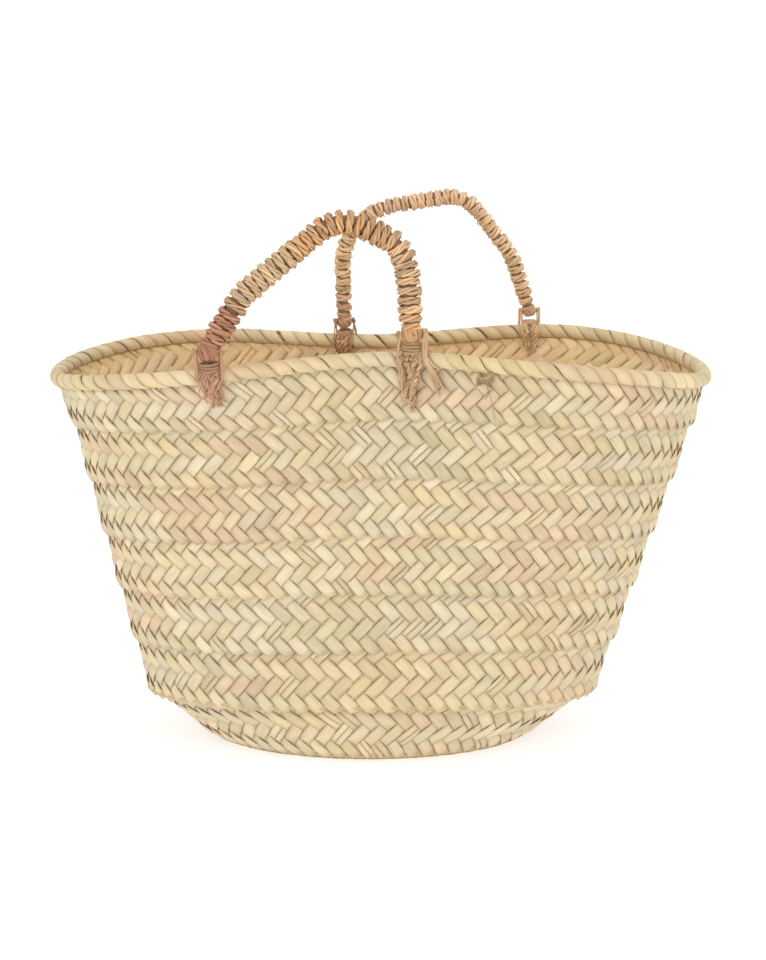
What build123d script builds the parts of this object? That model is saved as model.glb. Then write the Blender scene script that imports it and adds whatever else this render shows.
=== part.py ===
"""Woven palm-leaf market basket: coiled plait, roped rim and two rope handles that swing.

Millimetres, +Z up, +X along the mouth, the front of the basket faces -Y.
The origin is under the middle of the basket, on the surface it stands on.
"""
from build123d import *
from math import cos, exp, pi, radians, sin, sqrt
import os

os.makedirs("parts", exist_ok=True)

# ---------------------------------------------------------------- driving dimensions
mouth_half_length = 244.5        # rim rope centre to the middle of the basket, along X
mouth_half_depth = 150.0         # the same along Y, before the mouth is pinched
rim_height = 280.0               # rim centre at the two ends of the basket
course_count = 7                 # courses of plait from the rim down to the base edge
course_half_length = 246.5       # seam 1 would be this long at no step in
course_step_in = 12.35           # each seam is this much nearer the middle at the ends
course_height = 288.2            # and this high at no step down
course_step_down = 42.2          # each seam is this much lower than the one above
belly_half_depth = 97.0          # half depth of the lowest wall seam
belly_curve = 1.7                # how quickly the long walls come in below the rim
base_half_length = 127.0         # base edge
base_half_depth = 85.0
base_edge_height = 5.5
slump = 3.3                      # the basket slumps: the wall sits this far along X at its top
slump_step = -1.67               # and each seam this much further
pinch = 0.43                     # how far the handles draw the middle of the mouth together
pinch_spread = 0.45              # length of that waist, as a share of the half length
rim_crown_front = 28.5           # the rim is higher in the middle of each long wall
rim_crown_back = 8.0
seam_crown = 21.4                # the same for the seams, which flatten towards the base
seam_crown_step = 2.1
back_crown_share = 0.6
skew_rise = 4.8                  # the wall stands higher towards +X than towards -X
shoulder_rise = 3.5              # and a little higher at the four shoulders of the mouth

plait_thickness = 3.0
shingle = 2.0                    # half the step between two courses at their seam
overlap = 3.0                    # each course runs this far past its seam
fold_seam = 6                    # here the wall turns in under the basket
fold_tuck = 1.5                  # extra room inside the fold
fold_overlap = 1.0
seam_cord_radius = 1.3
seam_cord_section = (2.5, 2.2, 0.9)   # pulled flat: across, along the wall, corner radius
base_thickness = 3.0
base_band = 36.0                 # width of one turn of plait in the base
joint_gap = 0.6

rim_rope_radius = 2.6
rim_rope_section = (4.8, 4.8, 1.7)
rim_radius = 5.5
fit_gap = 0.3

lash_gap = 1.3
lash_thickness = 2.2
lash_legs = {True: 32.0, False: 22.0}      # how far a lashing reaches down, front and back
stitch_drops = {True: 28.0, False: 18.0}
stitch_radius = 2.3
stitch_spacing = 15.0
pin_radius = 2.4
ear_radius = 5.0
ear_thickness = 3.2
ear_gap = 3.2                    # room for the slanting foot of a handle between the ears

stations = 13                    # sections in each third of a turn
thirds = ((45.0, 165.0), (165.0, 285.0), (285.0, 405.0))


# ---------------------------------------------------------------- shape of the woven wall
def seam_size(k):
    """Half length, half depth and end height of seam k: 0 is the rim, 7 the base edge."""
    if k == course_count:
        return base_half_length, base_half_depth, base_edge_height
    fall = 1 - k / (course_count - 1)
    depth = belly_half_depth + (mouth_half_depth - belly_half_depth) * fall ** belly_curve
    if k == 0:
        return mouth_half_length, depth, rim_height
    return course_half_length - course_step_in * k, depth, course_height - course_step_down * k


def seam_crown_height(k, front):
    """Rise of seam k from the ends to the middle of a long wall."""
    if k == 0:
        return rim_crown_front if front else rim_crown_back
    if k == course_count:
        return 0.0
    rise = seam_crown - seam_crown_step * k
    return rise if front else rise * back_crown_share


def seam_point(k, turn):
    """Point of seam k at a plan angle in degrees, anticlockwise from +X."""
    half_length, half_depth, height = seam_size(k)
    along, across = cos(radians(turn)), sin(radians(turn))
    x = half_length * along
    waist = pinch * max(0.0, 1 - k / 6.5) * exp(-(x / (pinch_spread * half_length)) ** 2)
    y = half_depth * across * (1 - waist)
    wave = skew_rise * along * across ** 2 + shoulder_rise * (2 * along * across) ** 2
    z = height + seam_crown_height(k, y < 0) * across ** 2 + wave * (1 - k / course_count)
    return Vector(x + (slump + slump_step * k if k else 0), y, z)


def seam_frame(k, turn):
    """Tangent, outward normal and upward direction of the wall at seam k."""
    tangent = (seam_point(k, turn + 0.5) - seam_point(k, turn - 0.5)).normalized()
    above = seam_point(max(k - 1, 0), turn)
    below = seam_point(min(k + 1, course_count), turn)
    up = above - below
    up = (up - tangent * up.dot(tangent)).normalized()
    return tangent, tangent.cross(up), up


def offset_point(k, turn, outward, upward):
    """Point beside seam k, measured across and up the wall."""
    tangent, normal, up = seam_frame(k, turn)
    return seam_point(k, turn) + normal * outward + up * upward


def section_plane(point, x_axis, tangent):
    """Plane across the wall at a point, with its x axis as given."""
    across = tangent - x_axis * tangent.dot(x_axis)
    return Plane(origin=point, x_dir=x_axis, z_dir=across.normalized())


def turns(start, end):
    """Plan angles of the sections of one third of a turn."""
    return [start + (end - start) * i / (stations - 1) for i in range(stations)]


def turn_at(x, front):
    """Plan angle at which the rim stands at a given x, on the front or the back."""
    low, high = (180.0, 360.0) if front else (180.0, 0.0)
    for _ in range(40):
        middle = (low + high) / 2
        if seam_point(0, middle).X < x:
            low = middle
        else:
            high = middle
    return (low + high) / 2


# ---------------------------------------------------------------- handles
# Each handle stands in a plane through its two feet. Its route is given from its left
# foot, along the line of the feet and up.
front_rope_radius = 8.8
back_rope_radius = 6.3
front_core_radius = 5.6
back_core_radius = 3.6
front_feet_x = (-123.0, 22.5)
back_feet_x = (-28.0, 117.5)
front_pivot_height = 19.0
back_pivot_height = 16.0
rest_lean = 8.0                  # each handle leans in over the mouth


def foot_frame(x, front):
    """Rim point, tangent, outward normal and upward direction at a handle foot."""
    turn = turn_at(x, front)
    tangent, normal, up = seam_frame(0, turn)
    lower = offset_point(1, turn, shingle, 0)
    up = seam_point(0, turn) - lower
    up = (up - tangent * up.dot(tangent)).normalized()
    return seam_point(0, turn), tangent, tangent.cross(up), up


def handle_plane(feet_x, front, pivot_height):
    """Plane of a handle at rest, its origin at the left pivot, and the span of its feet."""
    pivots = []
    for x in feet_x:
        rim, tangent, normal, up = foot_frame(x, front)
        pivots.append(rim + up * pivot_height)
    axis = (pivots[1] - pivots[0]).normalized()
    upright = (Vector(0, 0, 1) - axis * axis.Z).normalized()
    inward = upright.cross(axis) * (1 if front else -1)
    rise = upright * cos(radians(rest_lean)) + inward * sin(radians(rest_lean))
    plane = Plane(origin=pivots[0], x_dir=axis, z_dir=axis.cross(rise))
    return plane, (pivots[1] - pivots[0]).length


front_plane, front_span = handle_plane(front_feet_x, True, front_pivot_height)
back_plane, back_span = handle_plane(back_feet_x, False, back_pivot_height)


front_slant = 36.6               # the long side of each handle already slants at its foot
back_slant = 18.0


def front_route(left_start, right_start):
    """Corners of the front handle: a slanting left side and an upright right side."""
    return [
        (left_start * sin(radians(front_slant)), left_start * cos(radians(front_slant))),
        (48 * sin(radians(front_slant)), 48 * cos(radians(front_slant))),
        (0.68 * front_span, 89.6),
        (front_span, 64),
        (front_span, right_start),
    ]


def back_route(start):
    """Corners of the back handle: an upright left side and a slanting right side."""
    return [
        (0, start),
        (-3, 88),
        (0.635 * back_span, 99),
        (back_span - 49 * sin(radians(back_slant)), 49 * cos(radians(back_slant))),
        (back_span - start * sin(radians(back_slant)), start * cos(radians(back_slant))),
    ]


front_bends = [40, 30, 32]
back_bends = [45, 30, 50]


# ---------------------------------------------------------------- base
def base_outline(inset):
    """Half length and half depth of the base coil, drawn in from its outer edge."""
    return base_half_length - 3.2 - inset, base_half_depth - 1.6 - inset


base_middle = Plane.XY.move(Location((slump + slump_step * course_count, 0, 0)))
coil_2_outer = base_outline(0)
coil_2_inner = base_outline(base_band)
coil_1_outer = base_outline(base_band + joint_gap)
heart_length = 2 * (coil_1_outer[0] - base_band)
heart_depth = 2 * (coil_1_outer[1] - base_band)

with BuildPart() as base_heart:
    with BuildSketch(base_middle):
        SlotOverall(heart_length, heart_depth)
    extrude(amount=base_thickness)
base_heart.part.label = "base_heart"
export_step(base_heart.part, "parts/base_heart.step")

with BuildPart() as base_coil_1:
    with BuildSketch(base_middle):
        Ellipse(*coil_1_outer)
        SlotOverall(heart_length + 2 * joint_gap, heart_depth + 2 * joint_gap, mode=Mode.SUBTRACT)
    extrude(amount=base_thickness)
base_coil_1.part.label = "base_coil_1"
export_step(base_coil_1.part, "parts/base_coil_1.step")

with BuildPart() as base_coil_2:
    with BuildSketch(base_middle):
        Ellipse(*coil_2_outer)
        Ellipse(*coil_2_inner, mode=Mode.SUBTRACT)
    extrude(amount=base_thickness)
base_coil_2.part.label = "base_coil_2"
export_step(base_coil_2.part, "parts/base_coil_2.step")

# Sewing cords lie on the base along its two joints.
cord_width = 2 * seam_cord_radius
base_top = base_middle.offset(base_thickness + 0.1)

with BuildPart() as base_seam_1:
    with BuildSketch(base_top):
        SlotOverall(heart_length + joint_gap + cord_width, heart_depth + joint_gap + cord_width)
        SlotOverall(
            heart_length + joint_gap - cord_width,
            heart_depth + joint_gap - cord_width,
            mode=Mode.SUBTRACT,
        )
    extrude(amount=1.6)
    fillet(base_seam_1.faces().sort_by(Axis.Z)[-1].edges(), radius=0.7)
base_seam_1.part.label = "base_seam_1"
export_step(base_seam_1.part, "parts/base_seam_1.step")

with BuildPart() as base_seam_2:
    with BuildSketch(base_top):
        Ellipse(coil_2_inner[0] + seam_cord_radius, coil_2_inner[1] + seam_cord_radius)
        Ellipse(
            coil_2_inner[0] - seam_cord_radius,
            coil_2_inner[1] - seam_cord_radius,
            mode=Mode.SUBTRACT,
        )
    extrude(amount=1.6)
    fillet(base_seam_2.faces().sort_by(Axis.Z)[-1].edges(), radius=0.7)
base_seam_2.part.label = "base_seam_2"
export_step(base_seam_2.part, "parts/base_seam_2.step")

# ---------------------------------------------------------------- wall courses
# Course 1 hangs from the rim and course 7 meets the base. The lower edge of each course
# laps outside the course below. The lashings of the handles are stitched through course 1.
handle_feet = [
    ("front_handle_lashing_left", front_feet_x[0], True),
    ("front_handle_lashing_right", front_feet_x[1], True),
    ("back_handle_lashing_left", back_feet_x[0], False),
    ("back_handle_lashing_right", back_feet_x[1], False),
]


def course_ends(k, turn):
    """Middle of the upper and of the lower edge of course k."""
    if k == 1:
        upper = offset_point(0, turn, 0, -rim_rope_radius - fit_gap)
    elif k == fold_seam + 1:
        upper = offset_point(fold_seam, turn, -shingle - fold_tuck, fold_overlap)
    else:
        upper = offset_point(k - 1, turn, -shingle, overlap)
    return upper, offset_point(k, turn, shingle, -overlap)


for k in range(1, course_count + 1):
    with BuildPart() as wall_course:
        for start, end in thirds:
            for turn in turns(start, end):
                upper, lower = course_ends(k, turn)
                up = (upper - lower).normalized()
                with BuildSketch(section_plane((upper + lower) / 2, up, seam_frame(k, turn)[0])):
                    Rectangle((upper - lower).length, plait_thickness)
            loft()
        if k == 1:
            for name, x, front in handle_feet:
                rim, tangent, normal, up = foot_frame(x, front)
                wall_plane = Plane(origin=rim - up * stitch_drops[front], x_dir=tangent, z_dir=normal)
                with BuildSketch(wall_plane):
                    with GridLocations(stitch_spacing, 0, 2, 1):
                        Circle(stitch_radius + 0.5)
                extrude(amount=8, both=True, mode=Mode.SUBTRACT)
    wall_course.part.label = f"wall_course_{k}"
    export_step(wall_course.part, f"parts/wall_course_{k}.step")

def cord_centre(k, turn):
    """Middle of the sewing cord at seam k: it lies inside, on the edge of the course below."""
    if k == course_count:
        return offset_point(k, turn, -1.5, 0.5)
    if k == fold_seam:
        return offset_point(k, turn, -shingle - 2.8, fold_overlap + 3.0)
    return offset_point(k, turn, -shingle - 0.2, overlap + seam_cord_radius + 0.2)


# One sewing cord inside the wall under each lap, and one round the edge of the base.
for k in range(1, course_count + 1):
    with BuildPart() as seam_cord:
        for start, end in thirds:
            for turn in turns(start, end):
                centre = cord_centre(k, turn)
                tangent, normal, up = seam_frame(k, turn)
                with BuildSketch(section_plane(centre, normal, tangent)):
                    RectangleRounded(*seam_cord_section)
            loft()
    seam_cord.part.label = f"seam_cord_{k}"
    export_step(seam_cord.part, f"parts/seam_cord_{k}.step")

# ---------------------------------------------------------------- rim
with BuildPart() as rim_rope:
    for start, end in thirds:
        for turn in turns(start, end):
            tangent, normal, up = seam_frame(0, turn)
            with BuildSketch(section_plane(seam_point(0, turn), normal, tangent)):
                RectangleRounded(*rim_rope_section)
        loft()
rim_rope.part.label = "rim_rope"
export_step(rim_rope.part, "parts/rim_rope.step")

# The binding goes round the rope and down both faces of the top edge of course 1.
with BuildPart() as rim_binding:
    for start, end in thirds:
        for turn in turns(start, end):
            tangent, normal, up = seam_frame(0, turn)
            with BuildSketch(section_plane(seam_point(0, turn), up, tangent)):
                Circle(rim_radius)
                Circle(rim_rope_radius + fit_gap, mode=Mode.SUBTRACT)
                with Locations((-rim_radius / 2 - 1, 0)):
                    Rectangle(rim_radius, plait_thickness + 0.8, mode=Mode.SUBTRACT)
        loft()
rim_binding.part.label = "rim_binding"
export_step(rim_binding.part, "parts/rim_binding.step")

# The end of the binding is tied off in a knot under the rim.
knot_radius = 4.0
knot_x = 77.0
knot_turn = turn_at(knot_x, True)
knot_out = plait_thickness / 2 + fit_gap + knot_radius + 0.2
knot_down = sqrt((rim_radius + fit_gap + knot_radius) ** 2 - knot_out ** 2) + 0.3

with BuildPart() as tie_off_knot:
    with Locations(offset_point(0, knot_turn, knot_out, -knot_down)):
        Sphere(knot_radius)
tie_off_knot.part.label = "tie_off_knot"
export_step(tie_off_knot.part, "parts/tie_off_knot.step")

# ---------------------------------------------------------------- lashings
# Each lashing is a saddle over the rim with a leg down each face of the wall, two stitches
# through the wall, and two ears that hold the cross cord the handle's foot turns on.
lash_inner = rim_radius + lash_gap
lash_outer = lash_inner + lash_thickness
leg_inner = plait_thickness / 2 + 2.1
leg_outer = leg_inner + lash_thickness

for name, x, front in handle_feet:
    rim, tangent, normal, up = foot_frame(x, front)
    rope_radius = front_rope_radius if front else back_rope_radius
    pivot_height = front_pivot_height if front else back_pivot_height
    axis = front_plane.x_dir if front else back_plane.x_dir
    ear_inner = rope_radius + ear_gap
    ear_outer = ear_inner + ear_thickness
    lash_leg = lash_legs[front]
    pivot = rim + up * pivot_height
    hinge_up = (up - axis * up.dot(axis)).normalized()
    with BuildPart() as lashing:
        with BuildSketch(Plane(origin=rim, x_dir=normal, z_dir=normal.cross(up))):
            Circle(lash_outer)
            with Locations((0, -lash_leg / 2)):
                Rectangle(2 * leg_outer, lash_leg)
            Circle(lash_inner, mode=Mode.SUBTRACT)
            with Locations((0, -lash_leg / 2 - 1)):
                Rectangle(2 * leg_inner, lash_leg + 2, mode=Mode.SUBTRACT)
        extrude(amount=ear_outer, both=True)
        with BuildSketch(Plane(origin=rim - up * stitch_drops[front], x_dir=tangent, z_dir=normal)):
            with GridLocations(stitch_spacing, 0, 2, 1):
                Circle(stitch_radius)
        extrude(amount=leg_outer - 0.5, both=True)
        for side in (-1, 1):
            ear_plane = Plane(origin=pivot + axis * side * ear_inner, x_dir=hinge_up, z_dir=axis * side)
            with BuildSketch(ear_plane):
                Circle(ear_radius)
                with Locations(((lash_inner + 1.2 - pivot_height) / 2, 0)):
                    Rectangle(pivot_height - lash_inner - 1.2, 2 * ear_radius)
            extrude(amount=ear_thickness)
        with BuildSketch(Plane(origin=pivot, z_dir=axis)):
            Circle(pin_radius)
        extrude(amount=ear_inner + 1, both=True)
    lashing.part.label = name
    export_step(lashing.part, f"parts/{name}.step")


# ---------------------------------------------------------------- handle cores and wraps
def eye_planes(plane, span):
    """The planes of the two feet, square to the hinge axis."""
    return [Plane(origin=plane.from_local_coords(Vector(x, 0, 0)), z_dir=plane.x_dir) for x in (0, span)]


eye_radius = {True: 8.0, False: 5.9}
pin_clearance = 0.45

with BuildPart() as front_handle_core:
    with BuildLine(front_plane) as front_line:
        FilletPolyline(*front_route(0, 0), radius=front_bends)
    with BuildSketch(Plane(origin=front_line.line @ 0, z_dir=front_line.line % 0)):
        Circle(front_core_radius)
    sweep()
    for foot in eye_planes(front_plane, front_span):
        with Locations(foot):
            Sphere(eye_radius[True])
            Cylinder(pin_radius + pin_clearance, 40, mode=Mode.SUBTRACT)
front_handle_core.part.label = "front_handle_core"
export_step(front_handle_core.part, "parts/front_handle_core.step")

with BuildPart() as front_handle_wrap:
    with BuildLine(front_plane) as front_wrap_line:
        FilletPolyline(*front_route(15.5, 9.5), radius=front_bends)
    with BuildSketch(Plane(origin=front_wrap_line.line @ 0, z_dir=front_wrap_line.line % 0)):
        Circle(front_rope_radius)
        Circle(front_core_radius + 0.3, mode=Mode.SUBTRACT)
    sweep()
front_handle_wrap.part.label = "front_handle_wrap"
export_step(front_handle_wrap.part, "parts/front_handle_wrap.step")

with BuildPart() as back_handle_core:
    with BuildLine(back_plane) as back_line:
        FilletPolyline(*back_route(0), radius=back_bends)
    with BuildSketch(Plane(origin=back_line.line @ 0, z_dir=back_line.line % 0)):
        Circle(back_core_radius)
    sweep()
    for foot in eye_planes(back_plane, back_span):
        with Locations(foot):
            Sphere(eye_radius[False])
            Cylinder(pin_radius + pin_clearance, 40, mode=Mode.SUBTRACT)
back_handle_core.part.label = "back_handle_core"
export_step(back_handle_core.part, "parts/back_handle_core.step")

with BuildPart() as back_handle_wrap:
    with BuildLine(back_plane) as back_wrap_line:
        FilletPolyline(*back_route(8.0), radius=back_bends)
    with BuildSketch(Plane(origin=back_wrap_line.line @ 0, z_dir=back_wrap_line.line % 0)):
        Circle(back_rope_radius)
        Circle(back_core_radius + 0.3, mode=Mode.SUBTRACT)
    sweep()
back_handle_wrap.part.label = "back_handle_wrap"
export_step(back_handle_wrap.part, "parts/back_handle_wrap.step")

for title, plane, span in (("front", front_plane, front_span), ("back", back_plane, back_span)):
    print(title, "pivot", plane.origin, "axis", plane.x_dir, "span", round(span, 2))
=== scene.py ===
"""Woven palm-leaf market basket, dressed over its CAD frame.

Every length is in metres, in the CAD model's own frame: +Z up, +X along the mouth, front at -Y.
The wall is real basketry: each course is a flat plait of leaf strips, two over and two under.
"""
import bpy
import math
import numpy as np
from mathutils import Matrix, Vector


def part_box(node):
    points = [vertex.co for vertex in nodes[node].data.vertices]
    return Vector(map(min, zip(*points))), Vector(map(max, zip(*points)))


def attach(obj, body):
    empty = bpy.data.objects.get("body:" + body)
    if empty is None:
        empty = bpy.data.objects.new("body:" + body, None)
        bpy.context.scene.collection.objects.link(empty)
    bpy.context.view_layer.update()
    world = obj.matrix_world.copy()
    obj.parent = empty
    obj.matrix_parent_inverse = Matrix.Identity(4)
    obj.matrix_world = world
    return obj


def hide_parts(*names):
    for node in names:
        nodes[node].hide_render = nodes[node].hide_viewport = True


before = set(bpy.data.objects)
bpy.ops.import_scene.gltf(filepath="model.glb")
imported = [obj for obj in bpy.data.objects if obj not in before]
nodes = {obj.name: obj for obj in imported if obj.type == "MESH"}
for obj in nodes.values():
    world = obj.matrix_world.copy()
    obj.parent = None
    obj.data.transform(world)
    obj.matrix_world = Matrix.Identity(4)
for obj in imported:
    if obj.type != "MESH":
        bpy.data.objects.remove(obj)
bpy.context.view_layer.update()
rng = np.random.default_rng(20)

# ------------------------ shape of the wall, as in the CAD
COURSES = 7
RIM_RADIUS = 0.0055
ROPE_RADIUS = 0.0026
SHINGLE = 0.002  # half the step between two courses at their seam
OVERLAP = 0.003  # each course runs this far past its seam
FOLD_SEAM, FOLD_TUCK, FOLD_OVERLAP = 6, 0.0015, 0.001
BASE_THICKNESS = 0.003
BASE_BAND = 0.036  # width of one turn of plait in the base
JOINT_GAP = 0.0006
BASE_INSET = 0.0032, 0.0016  # the coil stops this far inside the edge, at the ends and sides
FIT_GAP = 0.0003

rim_low, rim_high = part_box("rim_binding")
MOUTH_HALF_LENGTH = (rim_high.x - rim_low.x) / 2 - RIM_RADIUS
RIM_HEIGHT = 0.280
MOUTH_HALF_DEPTH = 0.150
COURSE_HALF_LENGTH, STEP_IN = 0.2465, 0.01235
COURSE_HEIGHT, STEP_DOWN = 0.2882, 0.0422
BELLY_HALF_DEPTH, BELLY_CURVE = 0.097, 1.7
BASE_HALF_LENGTH, BASE_HALF_DEPTH, BASE_EDGE_HEIGHT = 0.127, 0.085, 0.0055
SLUMP, SLUMP_STEP = 0.0033, -0.00167
PINCH, PINCH_SPREAD = 0.43, 0.45
PINCH_REACH = 6.5  # the pinch has faded out this many courses down
RIM_CROWN_FRONT, RIM_CROWN_BACK = 0.0285, 0.0080
SEAM_CROWN, SEAM_CROWN_STEP, BACK_CROWN_SHARE = 0.0214, 0.0021, 0.6
SKEW_RISE, SHOULDER_RISE = 0.0048, 0.0035
BASE_MIDDLE = SLUMP + SLUMP_STEP * COURSES

TURNS = np.linspace(0.0, 360.0, 1441)


def unit(v):
    return v / np.linalg.norm(v, axis=-1, keepdims=True)


def along(a, b):
    """Dot product of two fields of vectors, kept as a column."""
    return np.sum(a * b, axis=-1, keepdims=True)


def distance_along(path):
    """Distance of each point of a path from its start."""
    return np.concatenate([[0], np.cumsum(np.linalg.norm(np.diff(path, axis=0), axis=1))])


def circling(angle, a, b):
    """Directions at some angles on the way round from a towards b."""
    return np.cos(angle)[..., None] * a + np.sin(angle)[..., None] * b


def sample(x, distance, field):
    """Vectors of a field, read at distances x."""
    return np.stack([np.interp(x, distance, column) for column in field.T], axis=-1)


def seam_point(k, turn):
    """Points of seam k (0 the rim, 7 the base edge) at plan angles in degrees."""
    angle = np.radians(turn)
    if k == COURSES:
        half_length, half_depth, height = BASE_HALF_LENGTH, BASE_HALF_DEPTH, BASE_EDGE_HEIGHT
        front = back = 0.0
    else:
        fall = 1 - k / (COURSES - 1)
        half_length = COURSE_HALF_LENGTH - STEP_IN * k
        half_depth = BELLY_HALF_DEPTH + (MOUTH_HALF_DEPTH - BELLY_HALF_DEPTH) * fall ** BELLY_CURVE
        height = COURSE_HEIGHT - STEP_DOWN * k
        front = SEAM_CROWN - SEAM_CROWN_STEP * k
        back = front * BACK_CROWN_SHARE
        if k == 0:
            half_length, height = MOUTH_HALF_LENGTH, RIM_HEIGHT
            front, back = RIM_CROWN_FRONT, RIM_CROWN_BACK
    lengthwise, across = np.cos(angle), np.sin(angle)
    x = half_length * lengthwise
    waist = PINCH * max(0.0, 1 - k / PINCH_REACH) * np.exp(-((x / (PINCH_SPREAD * half_length)) ** 2))
    y = half_depth * across * (1 - waist)
    wave = SKEW_RISE * lengthwise * across ** 2 + SHOULDER_RISE * (2 * lengthwise * across) ** 2
    z = height + np.where(y < 0, front, back) * across ** 2 + wave * (1 - k / COURSES)
    return np.stack([x + (SLUMP + SLUMP_STEP * k if k else 0.0), y, z], axis=-1)


def seam_frame(k, turn):
    """Tangent, outward normal and upward direction of the wall at seam k."""
    tangent = unit(seam_point(k, turn + 0.5) - seam_point(k, turn - 0.5))
    up = seam_point(max(k - 1, 0), turn) - seam_point(min(k + 1, COURSES), turn)
    up = unit(up - tangent * along(up, tangent))
    return tangent, np.cross(tangent, up), up


def offset_point(k, turn, outward, upward):
    """Points beside seam k, measured across and up the wall."""
    _, normal, up = seam_frame(k, turn)
    return seam_point(k, turn) + normal * outward + up * upward


def turn_at(x, front):
    """Plan angle at which the rim stands at a given x."""
    low, high = (180.0, 360.0) if front else (180.0, 0.0)
    for _ in range(40):
        middle = (low + high) / 2
        if seam_point(0, np.array(middle))[0] < x:
            low = middle
        else:
            high = middle
    return (low + high) / 2


# ------------------------ materials
def srgb(r, g, b):
    """Linear colour from a colour given in 0 to 255."""
    c = np.array([r, g, b]) / 255.0
    return np.where(c <= 0.04045, c / 12.92, ((c + 0.055) / 1.055) ** 2.4)


CREAM = srgb(226, 206, 165)
GREEN = srgb(212, 199, 154)
TAN = srgb(222, 190, 156)
GREY = srgb(214, 203, 178)
GOLD = srgb(220, 193, 144)
PALE = srgb(231, 218, 190)
INSIDE = np.array([1.26, 1.15, 1.03])  # the leaf's underside is warmer


def add_node(tree, kind, inputs, operation=None):
    """New shader node. Each input is given as a value or as the socket that feeds it."""
    node = tree.nodes.new(kind)
    if operation:
        node.operation = operation
    for key, value in inputs.items():
        if isinstance(value, bpy.types.NodeSocket):
            tree.links.new(value, node.inputs[key])
        else:
            node.inputs[key].default_value = value
    return node


def palm_material(name, roughness, fibre, bump, specular=0.35, freckle=0.35, painted_edge_shade=0.78):
    """Leaf strip: the strip's own colour, with fine ribs along it, freckles, painted shade along its edges
    and a soft sheen.

    Each strip carries its colour in "tone" and its own coordinates (across, along, number) in
    "strip", in millimetres, so that the ribs follow the strip wherever it bends. "edge" runs
    from -1 to 1 across it.
    """
    material = bpy.data.materials.new(name)
    material.use_nodes = True
    tree = material.node_tree
    tree.nodes.clear()

    def attribute(key):
        node = tree.nodes.new("ShaderNodeAttribute")
        node.attribute_name = key
        return node.outputs

    def noise(stretch, detail):
        """Noise by the strip's coordinates, each of them stretched."""
        strip = attribute("strip")["Vector"]
        place = add_node(tree, "ShaderNodeVectorMath", {0: strip, 1: stretch}, "MULTIPLY")
        inputs = {"Vector": place.outputs[0], "Scale": 1.0, "Detail": detail}
        return add_node(tree, "ShaderNodeTexNoise", inputs).outputs["Fac"]

    def ramp(source, low, high, dark, light):
        inputs = {"Value": source, "From Min": low, "From Max": high, "To Min": dark, "To Max": light}
        return add_node(tree, "ShaderNodeMapRange", inputs).outputs[0]

    def times(a, b):
        return add_node(tree, "ShaderNodeMath", {0: a, 1: b}, "MULTIPLY").outputs[0]

    ribs = noise((1.5, 0.05, 1.7), 3.0)
    blotch = noise((0.16, 0.06, 3.1), 2.0)
    from_middle = add_node(tree, "ShaderNodeMath", {0: attribute("edge")["Fac"]}, "ABSOLUTE").outputs[0]
    shade = times(
        ramp(ribs, 0.3, 0.7, 1 - fibre, 1.04),
        ramp(blotch, 0.3, 0.7, 1 - freckle * 0.3, 1.04),
    )
    # Painted shade: each strip is darker along its edges, where it meets its neighbours.
    shade = times(shade, ramp(from_middle, 0.84, 1.0, 1.0, painted_edge_shade))
    tint = add_node(tree, "ShaderNodeVectorMath", {0: attribute("tone")["Color"], "Scale": shade}, "SCALE")
    relief = add_node(tree, "ShaderNodeBump", {"Strength": bump, "Distance": 0.0004, "Height": ribs})
    bsdf = add_node(tree, "ShaderNodeBsdfPrincipled", {
        "Base Color": tint.outputs[0],
        "Normal": relief.outputs[0],
        "Roughness": ramp(ribs, 0.3, 0.7, roughness + 0.1, roughness - 0.06),
        "Specular IOR Level": specular,
    })
    add_node(tree, "ShaderNodeOutputMaterial", {"Surface": bsdf.outputs[0]})
    return material


leaf = palm_material("palm_leaf", 0.52, fibre=0.14, bump=0.35)
rim_leaf = palm_material("rim_leaf", 0.5, fibre=0.16, bump=0.4, painted_edge_shade=0.9)
front_fibre = palm_material("front_handle_fibre", 0.62, fibre=0.34, bump=0.7, specular=0.25, freckle=0.8)
back_fibre = palm_material("back_handle_fibre", 0.6, fibre=0.28, bump=0.6, specular=0.25, freckle=0.6)


def thread_material(name, colour):
    """Sewing thread: uneven fibre, by the object's own coordinates."""
    material = bpy.data.materials.new(name)
    material.use_nodes = True
    tree = material.node_tree
    place = tree.nodes.new("ShaderNodeTexCoord").outputs["Object"]
    noise = add_node(tree, "ShaderNodeTexNoise", {"Vector": place, "Scale": 420.0, "Detail": 3.0})
    fibre = noise.outputs["Fac"]
    mix = tree.nodes.new("ShaderNodeMix")
    mix.data_type = "RGBA"
    mix.inputs["A"].default_value = (*(colour * 0.62), 1)
    mix.inputs["B"].default_value = (*(colour * 1.1), 1)
    tree.links.new(fibre, mix.inputs["Factor"])
    relief = add_node(tree, "ShaderNodeBump", {"Strength": 0.6, "Distance": 0.0005, "Height": fibre})
    bsdf = tree.nodes["Principled BSDF"]
    tree.links.new(mix.outputs["Result"], bsdf.inputs["Base Color"])
    tree.links.new(relief.outputs[0], bsdf.inputs["Normal"])
    bsdf.inputs["Roughness"].default_value = 0.7
    bsdf.inputs["Specular IOR Level"].default_value = 0.2
    return material


# ------------------------ mesh from strips
SKEW = [0.31, 0.17, 0.93]  # no strand runs this way; a tube's section starts square to it


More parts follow.
